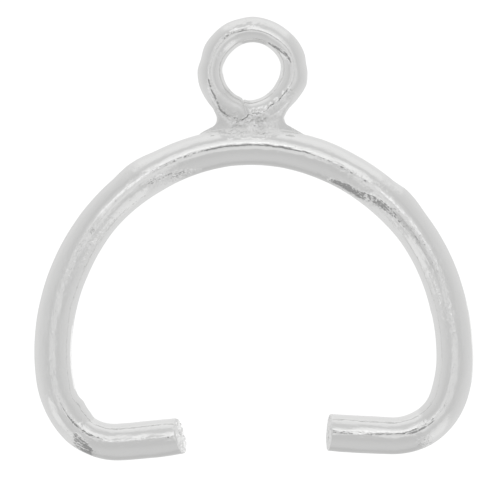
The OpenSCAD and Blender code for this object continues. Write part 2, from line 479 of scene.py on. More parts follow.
def crusty(x, y):
    """Share of the rough crust: the larger of a band along the crease on the ring, which is a
    bell across it times soft climbs at its ends, and the web's middle, a product of climbs."""
    from_arch, from_ring, degrees = from_wires(x, y)
    from_edge = from_ring - through(SOLDER_EDGE, degrees, EDGE_SOFT)
    crease = bump(from_edge, CRUST_LINE, CRUST_HALF)
    crease = crease * climb(degrees, *CRUST_START) * climb(degrees, *CRUST_END)
    middle = climb(x, *MIDDLE_LEFT) * climb(x, *MIDDLE_RIGHT) * climb(from_ring, *MIDDLE_TOP)
    on_web = MIDDLE_WEAK + (1 - MIDDLE_WEAK) * climb(from_arch, *MIDDLE_FOOT)
    return np.maximum(crease, middle * on_web)


def grains(x, y, side):
    """Height in mm of the crust's grains, in two sizes. The side is +1 on the face and -1 on the
    back, so that the two differ."""
    return layered(np.stack([x, y, side], -1), *GRAINS)


print("crust beside the waist and in its middle:", crusty(np.array([-1.3, -0.2]), 3.7).round(2))

# %% [markdown]
# ## The solder's surface
#
# With its reach and its crust known, the joint can be worked out in one go. Half of its
# thickness is a height above the middle plane, and the back mirrors the face, apart from grains
# of its own.

# %% Work out the solder
# Distance of the core from the ring's centre, by degrees
CORE = [
    (190, 1.32), (240, 1.36), (258, 1.34), (270, 1.27), (284, 1.28), (300, 1.14), (336, 1.15),
]
CORE_SOFT, OUTLINE_SOFT = 8, 0.01  # in degrees, and as a share of the outline's length
RING_MIDDLE = 1.335  # the ring's wire near its foot lies a little further in than elsewhere
WEB_HALF, WEB_FOOT = 0.30, (0.2, 0.4)  # it comes in above the arch's centreline
WEB_THINNING, WING = 0.7, (0.6, 1.0)  # and thins towards its wings
WEB_BLEND, RING_BLEND = 0.24, 0.16  # how far the corners are filled
FILM = 0.035
FILM_FADE, FADE_MORE, FADE_PLACE = 0.06, 0.09, (302, 12)  # softer at the crease's right end
GRAIN_FADE, SKIN_FADE = (-0.04, 0.06), (0, 0.1)  # by distance inside the solder's edge
SMOOTH_SKIN = (0.012, 0.3, 13)


def smooth_max(a, b, reach):
    """The larger of two heights, with the corner between them filled over the given reach."""
    near = np.maximum(reach - np.abs(a - b), 0) / reach
    return np.maximum(a, b) + near**2 * reach / 4


def solder_points(share, angle):
    """The solder's surface: its plan point runs from the core to the outline and back while the
    angle goes round. Its half height is the smooth maximum of both wires' own, which is
    root(radius^2 - distance^2), and the web's, plus the film, times 1 - (1 - |sin(angle)|)^3."""
    outline = np.array(SOLDER_OUTLINE)
    pace = np.r_[0, np.cumsum(np.hypot(*np.diff(outline[:, :2], axis=0).T))]
    pace /= pace[-1]
    smoothed = [through(np.stack([pace, column], 1), share, OUTLINE_SOFT) for column in outline.T]
    rim, degrees = np.stack(smoothed[:2], 1), smoothed[2]
    turn, radius = np.radians(degrees), through(CORE, degrees, CORE_SOFT)[:, None]
    core = RING_CENTRE + radius * np.stack([np.cos(turn), np.sin(turn)], 1)
    out = ((1 - np.cos(angle)) / 2)[None, :, None]
    plan = core[:, None] + (rim - core)[:, None] * out
    x, y = plan[..., 0], plan[..., 1]
    from_arch, from_ring, degrees = from_wires(x, y)
    arch = np.sqrt(np.maximum(WIRE_R**2 - from_arch**2, 0))
    ring = np.sqrt(np.maximum(RING_WIRE_R**2 - (from_ring - RING_MIDDLE) ** 2, 0))
    wing = climb(np.abs(x - RING_CENTRE[0]), *WING)
    web = WEB_HALF * climb(from_arch, *WEB_FOOT) * (1 - WEB_THINNING * wing)
    wet = wetted(x, y)
    fade = FILM_FADE + FADE_MORE * climb(degrees, *FADE_PLACE)
    film = FILM * (climb(wet, -fade, 2 * fade) * 2.0 - 1.0)
    thick = smooth_max(smooth_max(arch, web, WEB_BLEND), ring, RING_BLEND) + film
    wave = np.sin(angle)[None]
    height = thick * np.sign(wave) * (1 - (1 - np.abs(wave)) ** 3)
    side = np.sign(height)
    rough = crusty(x, y) * climb(wet, *GRAIN_FADE) * np.abs(wave)
    smooth = layered(np.stack([x, y, side], -1), SMOOTH_SKIN)
    skin = rough * grains(x, y, side) + smooth * np.abs(wave) * climb(wet, *SKIN_FADE)
    height = height + side * skin
    return np.stack([x, y, MID_Z + np.clip(height, -WIRE_R, WIRE_R)], -1)


SOLDER_ALONG, SOLDER_AROUND = 280, 84
SHARE_ENDS = (0.004, 0.996)  # the rows stop just short of the outline's ends, for the poles
share = np.linspace(*SHARE_ENDS, SOLDER_ALONG)
solder_angle = np.linspace(0, 2 * np.pi, SOLDER_AROUND, endpoint=False)
rows = solder_points(share, solder_angle)
solder_mesh = closed_grid("solder", rows, rows[0].mean(0), rows[-1].mean(0))

# %% [markdown]
# ## One piece of metal
#
# Solder makes one piece of the three, so their meshes are joined into one closed skin. They
# could be left to overlap, but then hidden faces would stay inside. A boolean union cuts away
# what lies inside the others. It also leaves spare vertices along its cuts, which are taken out
# again. The faces carry a number that says which part they came from, and the skin keeps it:
# later it tells the finish where solder ends and drawn wire begins.

# %% Fuse the three
SOLDER_INDEX = 1


def as_object(name, mesh):
    """A new object for a mesh, at the origin."""
    piece = bpy.data.objects.new(name, mesh)
    bpy.context.scene.collection.objects.link(piece)
    return piece


def fuse(base, *others):
    """Union of closed meshes, as a new mesh."""
    for other in others:
        union = base.modifiers.new("union with " + other.name, "BOOLEAN")
        union.operation, union.solver, union.object = "UNION", "MANIFOLD", other
    graph = bpy.context.evaluated_depsgraph_get()
    graph.update()
    made = bpy.data.meshes.new_from_object(base.evaluated_get(graph))
    for piece in (base, *others):
        bpy.data.objects.remove(piece)
    return made


marks = [bpy.data.materials.new("drawn"), bpy.data.materials.new("soldered")]
for mesh in (arch_mesh, ring_mesh, solder_mesh):
    for mark in marks:
        mesh.materials.append(mark)
all_soldered = np.full(len(solder_mesh.polygons), SOLDER_INDEX)
solder_mesh.polygons.foreach_set("material_index", all_soldered)
parts = [("arch", arch_mesh), ("ring", ring_mesh), ("solder", solder_mesh)]
skin = fuse(*(as_object(name, mesh) for name, mesh in parts))
skin.name = "soldered_bail"
print("fused: %d faces, %.2f cubic mm" % (len(skin.polygons), signed_volume(skin)))

# %% Take out what the cuts left over


def edge_pairs(mesh):
    """The two vertices of every edge."""
    pairs = np.empty(len(mesh.edges) * 2, int)
    mesh.edges.foreach_get("vertices", pairs)
    return pairs.reshape(-1, 2)


def tidy_seams(mesh):
    """Takes out the vertices that only two edges meet in, and cuts the faces with more than four
    sides into triangles."""
    edges_met = np.bincount(edge_pairs(mesh).ravel(), minlength=len(mesh.vertices))
    graph = bmesh.new()
    graph.from_mesh(mesh)
    graph.verts.ensure_lookup_table()
    spare = [graph.verts[k] for k in np.flatnonzero(edges_met == 2)]
    bmesh.ops.dissolve_verts(graph, verts=spare)
    many_sided = [face for face in graph.faces if len(face.verts) > 4]
    bmesh.ops.triangulate(graph, faces=many_sided)
    graph.to_mesh(mesh)
    graph.free()
    print("seams: %d spare vertices out, %d faces cut up" % (len(spare), len(many_sided)))


tidy_seams(skin)

# %% [markdown]
# ## Valleys and grit
#
# The union leaves a sharp valley wherever solder meets wire, and a real fillet has no sharp
# bottom, so the vertices near these seams are drawn towards their neighbours a few times. Then
# the crust gets its finest grit, over the seams too, which covers the last trace of them. The
# number that tells solder from wire is averaged with its neighbours as well, so that one finish
# runs softly into the other.

# %% Find where solder lies
MIXED = (0.02, 0.98)  # a vertex is on a seam if this much of its faces is solder
SEAM_GROWTH, SEAM_SPREADS = 1.3, 2  # how strongly and how often a seam's mark spreads


def neighbour_mean(values, pairs):
    """Mean of each vertex's neighbours, summed edge by edge."""
    first, second = pairs.T
    count, size = np.bincount(pairs.ravel(), minlength=len(values)), len(values)
    total = [
        np.bincount(first, column[second], size) + np.bincount(second, column[first], size)
        for column in values.T
    ]
    return np.stack(total, 1) / np.maximum(count, 1)[:, None]


def read_ints(items, name):
    """One whole number of each face or loop, as an array."""
    values = np.empty(len(items), int)
    items.foreach_get(name, values)
    return values


pairs = edge_pairs(skin)
loop_vertex = read_ints(skin.loops, "vertex_index")
face_mark = read_ints(skin.polygons, "material_index")
loop_mark = np.repeat(face_mark, read_ints(skin.polygons, "loop_total"))
touching = np.bincount(loop_vertex, minlength=len(skin.vertices))
soldered = np.bincount(loop_vertex, loop_mark, len(skin.vertices)) / np.maximum(touching, 1)
near_seam = ((soldered > MIXED[0]) & (soldered < MIXED[1])).astype(float)[:, None]
for _ in range(SEAM_SPREADS):
    near_seam = np.maximum(near_seam, neighbour_mean(near_seam, pairs) * SEAM_GROWTH)
near_seam = np.clip(near_seam, 0, 1)
print("%d vertices lie near a seam" % (near_seam > 0).sum())

# %% Relax the valleys and add the grit
RELAX_PASSES, MASK_PASSES = 5, 3
GRIT = ((0.018, 0.1, 31), (0.012, 0.05, 32))
GRIT_FOOT = (0.35, 0.2)  # by distance outside the arch's centreline
points, _ = arrays(skin)
for _ in range(RELAX_PASSES):
    points += 0.5 * near_seam * (neighbour_mean(points, pairs) - points)
from_arch, _, _ = from_wires(points[:, 0], points[:, 1])
grit = crusty(points[:, 0], points[:, 1]) * climb(from_arch, *GRIT_FOOT)
grit *= layered(points, *GRIT)
points[:, 2] += np.sign(points[:, 2] - MID_Z) * grit
skin.vertices.foreach_set("co", (points * MM).ravel())
skin.update()
solder_share = soldered[:, None]
for _ in range(MASK_PASSES):
    solder_share = 0.5 * solder_share + 0.5 * neighbour_mean(solder_share, pairs)
print("%d of %d vertices carry solder" % ((solder_share > 0.5).sum(), len(points)))

# %% [markdown]
# ## Straightened wire
#
# The drawing lines run along the wire round every bend. A pattern on plain coordinates would
# cut straight through the bends, so each vertex also stores where it would lie if the wire were
# pulled straight: how far along it is, and where it sits in the wire's round section. The ring
# runs back into itself, so its length along is kept as a point on a circle, in two numbers, far
# from the arch's, and its pattern closes without a break.

# %% Find the straightened place
COARSE_STEP = 0.05
AT_ONCE = 4000  # vertices compared with the path in one go, to save memory
RING_FOOT_Y = 3.5  # all of the ring lies above this


def straighten(points):
    """Nearest path sample of the arch by distance in plan, or the ring's two angles, whichever
    wire is nearer. Gives length along, place across (+ outwards), height from the middle, the
    angle round the ring, and whether the vertex is on the ring."""
    coarse = np.arange(0, WIRE_LENGTH, COARSE_STEP)
    middle, travel, outward = on_path(coarse)
    nearest = np.empty(len(points), int)
    for start in range(0, len(points), AT_ONCE):
        part = points[start : start + AT_ONCE, None, :2] - middle[None]
        nearest[start : start + AT_ONCE] = (part**2).sum(-1).argmin(1)
    offset = points[:, :2] - middle[nearest]
    run = coarse[nearest] + (offset * travel[nearest]).sum(1)
    across = (offset * outward[nearest]).sum(1)
    spoke = points[:, :2] - RING_CENTRE
    ring_across = np.hypot(*spoke.T) - RING_R
    ring_turn = np.arctan2(spoke[:, 1], spoke[:, 0])
    on_ring = (points[:, 1] > RING_FOOT_Y) & (np.abs(ring_across) < np.abs(across))
    across = np.where(on_ring, ring_across, across)
    return run, across, points[:, 2] - MID_Z, ring_turn, on_ring


run, across, up, ring_turn, on_ring = straighten(points)
on_arch, on_face = ~on_ring, up > 0
across_share = across / WIRE_R
ring_degrees = (np.degrees(ring_turn) + 90) % 360 - 90  # from the foot round to it again
from_middle = np.hypot(points[:, 0] - RING_CENTRE[0], points[:, 1] - RING_CENTRE[1]) - RING_R
print("straightened: along %.1f to %.1f mm" % (run.min(), run.max()))

# %% [markdown]
# ## Rubbed, calm and bitten places, with painted glints and painted dark reflections
#
# Tools leave three kinds of marks. Where they rubbed, the wire is dented and speckled in soft
# ovals, and white flecks there are painted glints in its colour. Where nothing touched it, above
# all along the top of the arch, it stayed calm and mirrors crisply. Where pliers bit, narrow
# bands are painted dark, partly for real torn metal and partly as a painted dark reflection, and
# the rows of short dashes on the crest are a painted reflection of the dark lens. Such marks
# could be painted by hand. Written down as places on the straightened wire, they stay easy to
# read and to move.
#
# Marks of use are put on the face alone, because the photograph doesn't show the back.

# %% Soft ovals
# Rubbed by tools, and the cut tips, which also carry painted glint flecks in the colour: length
# along, place across as a share of the radius, reach along, reach across and strength
WORN_AND_GLINTS = [
    (0.0, 0.0, 0.14, 3.0, 0.8), (0.9, -0.06, 0.5, 0.10, 1.0), (2.0, -0.05, 0.8, 0.12, 0.7),
    (2.95, 0.74, 0.42, 0.30, 1.0), (3.5, 0.04, 0.9, 0.10, 0.4), (5.3, 0.05, 0.8, 0.3, 0.5),
    (6.9, 0, 0.8, 0.35, 0.5), (8.7, -0.05, 1.2, 0.4, 0.6), (10.2, -0.42, 0.9, 0.25, 0.8),
    (12.9, -0.42, 0.6, 0.14, 1.0), (13.6, -0.72, 0.6, 0.16, 0.9), (19.3, 0.05, 0.8, 0.08, 0.5),
    (19.6, -0.80, 0.8, 0.16, 0.8), (20.7, -0.50, 0.8, 0.17, 1.0), (21.9, -0.60, 0.4, 0.15, 0.7),
    (22.4, -0.26, 1.2, 0.12, 0.7), (24.4, -0.42, 0.9, 0.10, 1.0), (23.9, 0, 1.2, 0.3, 0.6),
    (25.2, -0.1, 1.2, 0.35, 0.6), (26.6, -0.2, 1.2, 0.1, 0.4), (29.4, 0.66, 0.26, 0.28, 1.0),
    (31.3, 0.0, 0.6, 0.06, 0.3), (32.3, 0.0, 0.12, 3.0, 0.4),
]
# Smooth and calm, in the same terms
CALM = [
    (15.6, 0.05, 3.8, 0.4, 0.74), (30.2, 0.0, 1.3, 0.3, 0.45), (11.3, 0.05, 2.2, 0.25, 0.85),
    (21.8, 0.08, 2.2, 0.25, 0.5),
]
CALM_RING = 0.5
SHOWS = 0.3  # a mark is clearly seen from this strength on


def count(mark):
    """How many vertices a mark is clearly seen on."""
    return (mark > SHOWS).sum()


def ovals(table, power=1):
    """Strength of soft patches on the arch: the largest of bells along x bells across. A higher
    power ends a patch sooner along the wire."""
    share = np.zeros(len(run))
    for place, sideways, long, wide, strength in table:
        oval = bump(run, place, long) ** power * bump(across_share, sideways, wide)
        share = np.maximum(share, strength * oval)
    return share


worn_and_glints = ovals(WORN_AND_GLINTS) * on_face * on_arch
calm = np.where(on_ring, CALM_RING, ovals(CALM, power=2))
print("rubbed: %d vertices, calm: %d" % (count(worn_and_glints), count(calm)))

# %% Bands of bites and painted dark reflections on the arch
# Each band is a row of places along the wire: length, place across as a share of the radius,
# half width as such a share, and depth, where 1 is a full bite. The colour darkens them, partly
# for real torn metal and partly as a painted dark reflection
BITES_AND_REFLECTIONS = [
    [(2.6, 0.85, 0.05, 0), (2.7, 0.78, 0.15, 0.85), (2.95, 0.66, 0.27, 0.9),
     (3.2, 0.56, 0.29, 0.85), (3.35, 0.46, 0.22, 0.7), (3.5, 0.38, 0.10, 0)],
    [(0.25, -0.05, 0.02, 0), (0.3, -0.05, 0.03, 0.8), (0.45, -0.05, 0.03, 0.8),
     (0.5, -0.05, 0.02, 0)],
    [(2.5, -0.13, 0.02, 0), (2.75, -0.10, 0.03, 0.8), (3.1, -0.06, 0.04, 1),
     (3.65, -0.03, 0.04, 1), (3.85, -0.02, 0.03, 0.6), (4.3, -0.01, 0.03, 0.5),
     (4.5, -0.01, 0.03, 0)],
    [(12.4, -0.34, 0.06, 0), (12.7, -0.38, 0.12, 0.55), (13.2, -0.50, 0.16, 0.5),
     (13.8, -0.70, 0.14, 0.5), (14.3, -0.86, 0.06, 0.5), (14.6, -0.93, 0.05, 0)],
    [(18.9, -0.88, 0.04, 0), (19.15, -0.82, 0.10, 1.0), (19.6, -0.77, 0.15, 1.15),
     (20.15, -0.73, 0.17, 1.1), (20.35, -0.64, 0.19, 0.8), (20.7, -0.50, 0.22, 0.75),
     (21.1, -0.40, 0.18, 0.85), (21.6, -0.33, 0.14, 0.75), (22.4, -0.28, 0.10, 0.4),
     (23.4, -0.22, 0.08, 0.3), (24.2, -0.15, 0.05, 0)],
    [(28.75, 0.03, 0.02, 0), (28.9, 0.01, 0.03, 0.7), (29.2, -0.02, 0.04, 0.9),
     (29.7, -0.04, 0.04, 0.9), (29.85, -0.05, 0.02, 0)],
    [(29.1, 0.85, 0.06, 0), (29.25, 0.76, 0.15, 0.4), (29.5, 0.64, 0.20, 0.4),
     (29.75, 0.50, 0.10, 0)],
]
# Painted reflection of the dark lens, as dashes on the crest at both ends of its calm stretch:
# start, end and place across
LENS_REFLECTION_DASHES = [
    (12.94, 13.04, 0.01), (13.12, 13.16, 0.02), (13.36, 13.47, 0.01), (13.60, 13.76, 0.02),
    (14.05, 14.27, 0.03), (14.33, 14.48, 0.04), (14.58, 14.66, 0.05), (18.16, 18.30, 0.06),
    (18.42, 18.60, 0.05), (18.70, 18.84, 0.04), (19.15, 19.26, 0.03), (19.33, 19.38, 0.02),
    (19.50, 19.62, 0.02), (20.03, 20.10, 0.02),
]
DASH_HALF, DASH_END, DASH_DEPTH = 0.035, 0.03, 0.95
for first, last, place in LENS_REFLECTION_DASHES:
    ends = [(first - DASH_END, 0), (first, DASH_DEPTH), (last, DASH_DEPTH), (last + DASH_END, 0)]
    BITES_AND_REFLECTIONS.append([(along, place, DASH_HALF, depth) for along, depth in ends])
# In half widths: where a band ends, and over how much it fades in from there
BAND_REACH, BAND_FADE = 1.25, 0.5


def banded(bands, along, sideways):
    """Depth of a mark: the largest of bands. Across a band the depth is full in the middle and
    eases out at its edges. Its place, width and depth run straight from knot to knot."""
    depth = np.zeros(len(along))
    for band in bands:
        places, middles, widths, depths = np.array(band).T
        off = np.abs(sideways - np.interp(along, places, middles))
        off = off / np.interp(along, places, widths)
        here = climb(off, BAND_REACH, -BAND_FADE) * np.interp(along, places, depths)
        depth = np.maximum(depth, here)
    return depth


arch_bites_and_reflections = banded(BITES_AND_REFLECTIONS, run, across_share)
print("bitten on the arch: %d vertices" % count(arch_bites_and_reflections * on_arch * on_face))

# %% Bands of bites and painted dark reflections on the ring
# Degrees, distance from the middle of its wire in mm, half width in mm, depth. A row that passes
# the foot goes on in the next.
RING_BITES_AND_REFLECTIONS = [
    [(10, -0.11, 0.02, 0), (15, -0.115, 0.03, 0.8), (25, -0.18, 0.05, 1), (34, -0.24, 0.05, 1),
     (48, -0.32, 0.04, 0.9), (60, -0.35, 0.03, 0.6), (70, -0.37, 0.02, 0)],
    # the dark line along the crest here is a painted reflection of the dark lens
    [(96, -0.01, 0.012, 0), (100, 0.0, 0.02, 0.8), (110, 0.005, 0.02, 0.7),
     (116, 0.01, 0.025, 1.05), (131, 0.01, 0.025, 1.05), (134, 0.01, 0.012, 0)],
    [(189, 0.075, 0.02, 0), (192, 0.085, 0.03, 0.85), (206, 0.095, 0.035, 1.0),
     (214, 0.11, 0.035, 1.0), (222, 0.16, 0.035, 0.95), (230, 0.26, 0.035, 0.8),
     (240, 0.31, 0.035, 0.7), (245, 0.41, 0.03, 0.6), (249, 0.43, 0.02, 0)],
    [(226, 0.21, 0.02, 0), (230, 0.23, 0.04, 0.35), (242, 0.32, 0.07, 0.3),
     (254, 0.45, 0.08, 0.3), (264, 0.47, 0.08, 0.3), (270, 0.46, 0.08, 0.25)],
    [(-90, 0.46, 0.08, 0.3), (-80, 0.42, 0.08, 0.3), (-72, 0.36, 0.05, 0)],
    [(258, 0.20, 0.03, 0), (263, 0.18, 0.08, 0.4), (270, 0.17, 0.08, 0.4)],
    [(-90, 0.17, 0.08, 0.4), (-80, 0.05, 0.06, 0.4), (-74, 0.0, 0.03, 0)],
]
# dark bites: partly real torn metal, partly a painted dark reflection of the lens
scar_and_painted_reflection = np.where(on_ring, banded(RING_BITES_AND_REFLECTIONS, ring_degrees, across), arch_bites_and_reflections) * on_face
print("bitten in all: %d vertices" % count(scar_and_painted_reflection))

# %% [markdown]
# ## Painted highlights, a painted dark band and dull places
#
# A streak is a painted highlight, a line of light painted white into the colour, and the ring
# has many: along its edges, beside the bites and in the solder's crust. The painted dark band is
# the opposite, a painted dark reflection as a soft grey band.
# The legs and most of the ring carry a fine satin along their crest, which softens the line of
# light there, and the ring's lower left was left dull by the torch. Bands and soft climbs do
# for all of these.

# %% Painted highlights and a painted dark band
# Painted highlight lines on the ring: degrees, distance from the middle of its wire in mm, half
# width in mm, strength
RING_PAINTED_HIGHLIGHTS = [
    [(133, 0.05, 0.01, 0), (140, 0.06, 0.015, 0.8), (165, 0.07, 0.015, 0.5),
     (190, 0.08, 0.015, 0.8), (194, 0.155, 0.03, 1), (209, 0.165, 0.035, 1),
     (224, 0.24, 0.035, 1), (232, 0.25, 0.02, 0)],
    [(-52, -0.39, 0.02, 0), (-47, -0.39, 0.03, 0.8), (-30, -0.39, 0.03, 0.9),
     (-12, -0.385, 0.03, 0.9), (4, -0.42, 0.03, 0.6), (8, -0.42, 0.02, 0)],
    [(8, -0.17, 0.02, 0), (11.5, -0.175, 0.03, 1), (26, -0.225, 0.035, 1), (30, -0.23, 0.02, 0)],
    [(-32, -0.15, 0.01, 0), (-28, -0.15, 0.015, 0.9), (-14, -0.12, 0.015, 0.9),
     (4, -0.13, 0.015, 0.9), (7, -0.13, 0.01, 0)],
    [(-88, 0.05, 0.02, 0), (-84, 0.046, 0.03, 1), (-54, -0.087, 0.035, 1),
     (-28, -0.045, 0.035, 1), (-22, -0.03, 0.02, 0)],
    [(226, 0.30, 0.02, 0), (233, 0.36, 0.04, 1), (240, 0.42, 0.04, 1), (250, 0.53, 0.04, 1),
     (256, 0.56, 0.02, 0)],
    [(252, 0.36, 0.02, 0), (258, 0.36, 0.05, 1), (270, 0.36, 0.06, 1)],
    [(-90, 0.36, 0.06, 1), (-78, 0.38, 0.06, 1), (-72, 0.40, 0.03, 0)],
    [(-68, 0.23, 0.01, 0), (-65, 0.225, 0.02, 1), (-43, 0.17, 0.02, 1), (-40, 0.17, 0.01, 0)],
    [(105, -0.26, 0.03, 0), (112, -0.256, 0.04, 0.5), (143, -0.225, 0.05, 0.7),
     (159, -0.165, 0.05, 0.7), (164, -0.15, 0.03, 0)],
    [(40, -0.06, 0.03, 0), (46, -0.065, 0.04, 0.5), (66, -0.07, 0.04, 0.5),
     (75, -0.03, 0.04, 0.4), (90, 0.0, 0.04, 0.4), (96, 0.0, 0.03, 0)],
    [(106, 0.08, 0.015, 0), (110, 0.09, 0.02, 1), (128, 0.094, 0.02, 1), (147, 0.053, 0.02, 1),
     (150, 0.05, 0.01, 0)],
]
# Painted highlight lines on the arch: length, place across and half width as shares of the
# radius, strength
ARCH_PAINTED_HIGHLIGHTS = [
    [(10.4, 0.13, 0.02, 0), (10.8, 0.11, 0.04, 0.8), (12.0, 0.09, 0.05, 1),
     (13.0, 0.08, 0.05, 1), (13.6, 0.08, 0.03, 0)],
    [(20.2, 0.10, 0.03, 0), (20.6, 0.09, 0.05, 1), (22.0, 0.08, 0.05, 1),
     (23.5, 0.08, 0.05, 0.9), (24.6, 0.08, 0.03, 0)],
]
# Painted dark reflection: a soft grey band, in the same terms as the arch's highlights
PAINTED_DARK_BANDS = [
    [(21.2, -0.26, 0.05, 0), (21.7, -0.24, 0.13, 1), (22.6, -0.22, 0.12, 1),
     (23.5, -0.18, 0.10, 0.8), (24.3, -0.12, 0.05, 0)],
]
near_ring = points[:, 1] > RING_FOOT_Y  # the ring's painted highlights run on over the solder
ring_painted_highlights = banded(RING_PAINTED_HIGHLIGHTS, ring_degrees, from_middle) * near_ring
# painted highlight lines and a painted dark reflection band, kept for the colour
painted_highlight = np.maximum(ring_painted_highlights, banded(ARCH_PAINTED_HIGHLIGHTS, run, across_share) * on_arch) * on_face
painted_dark_band = banded(PAINTED_DARK_BANDS, run, across_share) * on_face * on_arch
print("streaks: %d vertices, smudge: %d" % (count(painted_highlight), count(painted_dark_band)))

# %% Satin and the torch's dull place
# Each stretch: where it starts, over how much it comes, where it ends, over how much it goes
LEFT_LEG, RIGHT_LEG = (4.4, 0.6, 11.0, 0.5), (23.6, 0.8, 28.7, 0.5)
RING_BRIGHT, TORCH = (96, 5, 136, 5), (208, 14, 268, 5)
SATIN_LEGS, LEG_LINE, LEG_HALF = 0.8, 0.03, 0.22
RING_SATIN_HALF = 0.12


def stretch(x, start, coming, end, going):
    """1 from start to end, with a soft climb inside either of them."""
    return climb(x, start, coming) * climb(x, end, -going)


dull = stretch(ring_degrees, *TORCH) * on_ring
ring_satin = (1 - stretch(ring_degrees, *RING_BRIGHT)) * bump(across, 0, RING_SATIN_HALF)
legs = stretch(run, *LEFT_LEG) + stretch(run, *RIGHT_LEG)
leg_satin = SATIN_LEGS * legs * bump(across_share, LEG_LINE, LEG_HALF)
satin = np.where(on_ring, ring_satin, leg_satin)
print("satin: %d vertices, dull: %d" % (count(satin), count(dull)))

# %% [markdown]
# ## Numbers on the mesh
#
# A material can't look up a table, so every mark is kept on the mesh as one number for each
# vertex, under a name that the material reads it by. A painted picture would have to be wrapped
# round the wire first, and this mesh is fine enough to do without. The crust's lowest and
# highest places are kept too: its pits get painted shade, and the tops of its grains get
# painted glints.

# %% Keep every mark on the mesh
FAR_ALONG = 90  # keeps the ring's noise clear of the arch's
PIT_LEVEL, TOP_LEVEL = (-0.008, -0.02), (-0.006, 0.02)  # of the grains' height in mm
solder = solder_share[:, 0]
crust = solder * crusty(points[:, 0], points[:, 1])
grain_height = grains(points[:, 0], points[:, 1], np.sign(up))
places_kept = {
    "along_a": np.where(on_ring, FAR_ALONG + RING_R * np.cos(ring_turn), run),
    "along_b": np.where(on_ring, RING_R * np.sin(ring_turn), 0),
    "across": across,
    "up": up,
}
marks_kept = {
    "ring": on_ring.astype(float),
    "worn_and_glints": worn_and_glints, "calm": calm, "scar_and_painted_reflection": scar_and_painted_reflection, "painted_highlight": painted_highlight, "painted_dark_band": painted_dark_band,
    "satin": satin, "dull": dull, "solder": solder, "crust": crust,
    # painted shade in the crust's pits
    "pit_shade": crust * climb(grain_height, *PIT_LEVEL),
    # painted glints on the tops of the crust's grains
    "grain_top_glint": crust * climb(grain_height, *TOP_LEVEL),
}
for name, values in {**places_kept, **marks_kept}.items():
    kept = skin.attributes.new(name, "FLOAT", "POINT")
    kept.data.foreach_set("value", values.astype(np.float32))
skin.polygons.foreach_set("material_index", np.zeros(len(skin.polygons), int))
skin.polygons.foreach_set("use_smooth", np.ones(len(skin.polygons), bool))
print("kept %d places and %d marks for each vertex" % (len(places_kept), len(marks_kept)))

# %% [markdown]
# ## Silver
#
# Polished silver has no colour pattern of its own. What makes it look real is how unevenly it
# mirrors: long, very shallow drawing lines smear reflections along the wire, and small nicks and
# rubbed spots break them up. A flat mirror with a photograph of scratches would look the same
# all over. Here all of it is noise on the straightened coordinates, stretched along the wire,
# and the marks kept on the mesh say how strong each kind is where. Only the solder's grain,
# which follows no wire, is noise on plain coordinates.

# %% Node helpers


class Nodes:
    """Short way to add nodes: each call adds one, sets its values and links its inputs."""

    def __init__(self, tree):
        self.tree = tree
        tree.nodes.clear()

    def add(self, kind, inputs=None, **settings):
        node = self.tree.nodes.new("ShaderNode" + kind)
        for name, value in settings.items():
            setattr(node, name, value)
        for key, value in (inputs or {}).items():
            if isinstance(value, bpy.types.NodeSocket):
                self.tree.links.new(value, node.inputs[key])
            else:
                node.inputs[key].default_value = value
        return node

    def math(self, operation, a, b=0.0, c=0.0):
        return self.add("Math", {0: a, 1: b, 2: c}, operation=operation).outputs[0]

    def plus(self, a, b):
        return self.math("ADD", a, b)

    def minus(self, a, b):
        return self.math("SUBTRACT", a, b)

    def times(self, a, b):
        return self.math("MULTIPLY", a, b)

    def line(self, value, slope, start):
        """Straight line: start + slope x value."""
        return self.math("MULTIPLY_ADD", value, slope, start)

    def largest(self, first, *others):
        for other in others:
            first = self.math("MAXIMUM", first, other)
        return first

    def rise(self, value, low, high, bottom=0.0, top=1.0):
        """Smooth climb from bottom to top as value goes from low to high."""
        ends = {"From Min": low, "From Max": high, "To Min": bottom, "To Max": top}
        node = self.add("MapRange", {"Value": value, **ends}, interpolation_type="SMOOTHSTEP")
        return node.outputs[0]

    def blend(self, share, a, b):
        return self.add("Mix", {0: share, 2: a, 3: b}, data_type="FLOAT").outputs[0]

    def tint(self, share, a, b):
        return self.add("Mix", {0: share, 6: a, 7: b}, data_type="RGBA").outputs[2]

    def curve(self, value, knots):
        """Smooth curve through (place, value) knots, all from 0 to 1."""
        node = self.add("FloatCurve", {"Value": value})
        line = node.mapping.curves[0]
        line.points[0].location, line.points[-1].location = knots[0], knots[-1]
        for x, y in knots[1:-1]:
            line.points.new(x, y)
        node.mapping.update()
        return node.outputs[0]

    def value(self, name):
        """One number kept on the mesh."""
        return self.add("Attribute", attribute_name=name).outputs["Fac"]

    def noise(self, where, scale, detail, roughness):
        inputs = {"Vector": where, "Scale": scale, "Detail": detail, "Roughness": roughness}
        return self.add("TexNoise", inputs).outputs[0]

    def wire_noise(self, along, across, detail, roughness):
        """Noise on the straightened wire, with this many spots per mm along it and across."""
        place = {
            "X": self.times(self.value("across"), across),
            "Y": self.times(self.value("up"), across),
            "Z": self.times(self.value("along_a"), along),
        }
        inputs = {
            "Vector": self.add("CombineXYZ", place).outputs[0],
            "W": self.times(self.value("along_b"), along),
            "Scale": 1.0, "Detail": detail, "Roughness": roughness,
        }
        return self.add("TexNoise", inputs, noise_dimensions="4D").outputs[0]


# %% Marks and noises that the silver reads
silver = bpy.data.materials.new("silver")
silver.use_nodes = True
metal = Nodes(silver.node_tree)
